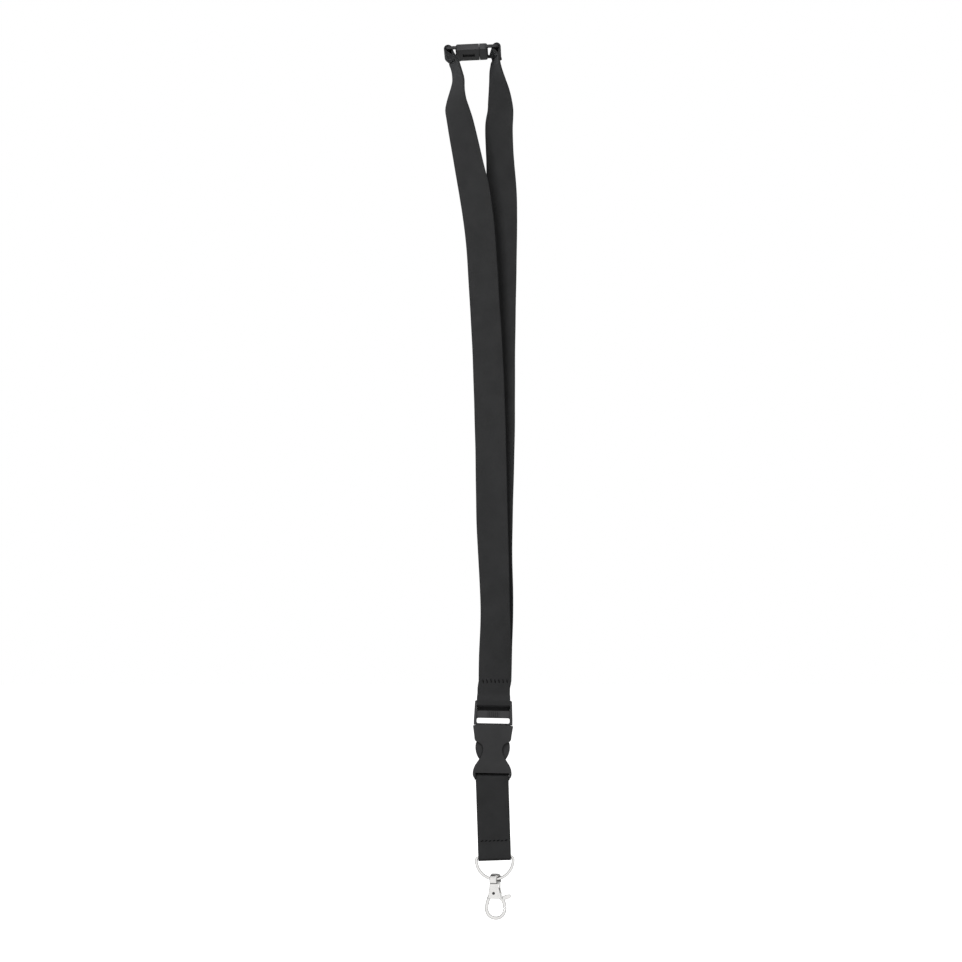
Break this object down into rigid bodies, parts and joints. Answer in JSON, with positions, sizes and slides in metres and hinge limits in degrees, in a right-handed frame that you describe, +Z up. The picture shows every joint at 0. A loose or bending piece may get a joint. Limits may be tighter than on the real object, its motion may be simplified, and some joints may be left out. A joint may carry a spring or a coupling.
{
  "type": "neck lanyard",
  "caption": "Neck lanyard of flat webbing with a breakaway clasp, side-release buckle, short tail strap, D-ring and swivelling trigger hook.",
  "frame": {"origin": "the point the lanyard hangs from, under the middle of the breakaway clasp", "axes": "+Z up, against the hanging strap; +X to the right as the front is seen; -Y out of the front"},
  "size_m": [0.0451, 0.0242, 0.5377],
  "materials": {
    "webbing": "woven matt",
    "thread": "twisted sewing thread",
    "moulded_plastic": "satin moulded",
    "plated_metal": "bright nickel plate"
  },
  "bodies": {
    "neck_straps": {"neck_strap_front": "webbing", "neck_strap_back": "webbing", "stitch_row_clasp_left": "thread", "stitch_row_buckle": "thread", "clasp_female_housing": "moulded_plastic", "buckle_male_frame": "moulded_plastic"},
    "clasp_male": {"clasp_male_plug": "moulded_plastic", "clasp_latch_tongue": "moulded_plastic", "stitch_row_clasp_right": "thread"},
    "latch_left": {"buckle_latch_arm_left": "moulded_plastic"},
    "latch_right": {"buckle_latch_arm_right": "moulded_plastic"},
    "buckle_female": {"buckle_female_housing": "moulded_plastic", "tail_strap": "webbing", "stitch_row_tail": "thread"},
    "d_ring": {"d_ring": "plated_metal"},
    "eye": {"swivel_eye": "plated_metal"},
    "hook": {"hook_body": "plated_metal", "gate_pin": "plated_metal", "gate_spring": "plated_metal"},
    "gate": {"hook_gate": "plated_metal"}
  },
  "joints": [
    {"name": "clasp_pull", "type": "slide", "parent": "neck_straps", "child": "clasp_male", "axis": [0.9989, -0.0105, 0.0454], "range_m": [0, 0.014], "deforming": ["neck_strap_back", "clasp_latch_tongue"]},
    {"name": "latch_left_press", "type": "hinge", "parent": "neck_straps", "child": "latch_left", "pos_m": [0.00536, 0, -0.41116], "axis": [0, 1, 0], "range_deg": [-7, 0], "stiffness_Nm_per_rad": 0.8},
    {"name": "latch_right_press", "type": "hinge", "parent": "neck_straps", "child": "latch_right", "pos_m": [0.02036, 0, -0.41144], "axis": [0, 1, 0], "range_deg": [0, 7], "stiffness_Nm_per_rad": 0.8},
    {"name": "buckle_release", "type": "slide", "parent": "neck_straps", "child": "buckle_female", "axis": [-0.0188, 0, -0.9998], "range_m": [0, 0.024], "deforming": ["buckle_latch_arm_left", "buckle_latch_arm_right"]},
    {"name": "d_ring_swing", "type": "hinge", "parent": "buckle_female", "child": "d_ring", "pos_m": [0.01386, 0, -0.48967], "axis": [0.9995, 0, 0.0321], "range_deg": [-95, 95]},
    {"name": "eye_swing", "type": "hinge", "parent": "d_ring", "child": "eye", "pos_m": [0.01429, 0, -0.50306], "axis": [0.9995, 0, 0.0321], "range_deg": [-40, 40]},
    {"name": "hook_swivel", "type": "hinge", "parent": "eye", "child": "hook", "pos_m": [0.01429, 0, -0.50576], "axis": [0, 0, 1], "continuous": true},
    {"name": "gate_open", "type": "hinge", "parent": "hook", "child": "gate", "pos_m": [0.01319, 0, -0.51176], "axis": [0, 1, 0], "range_deg": [0, 24], "stiffness_Nm_per_rad": 0.02, "springref_deg": -5.73, "deforming": ["gate_spring"]}
  ]
}
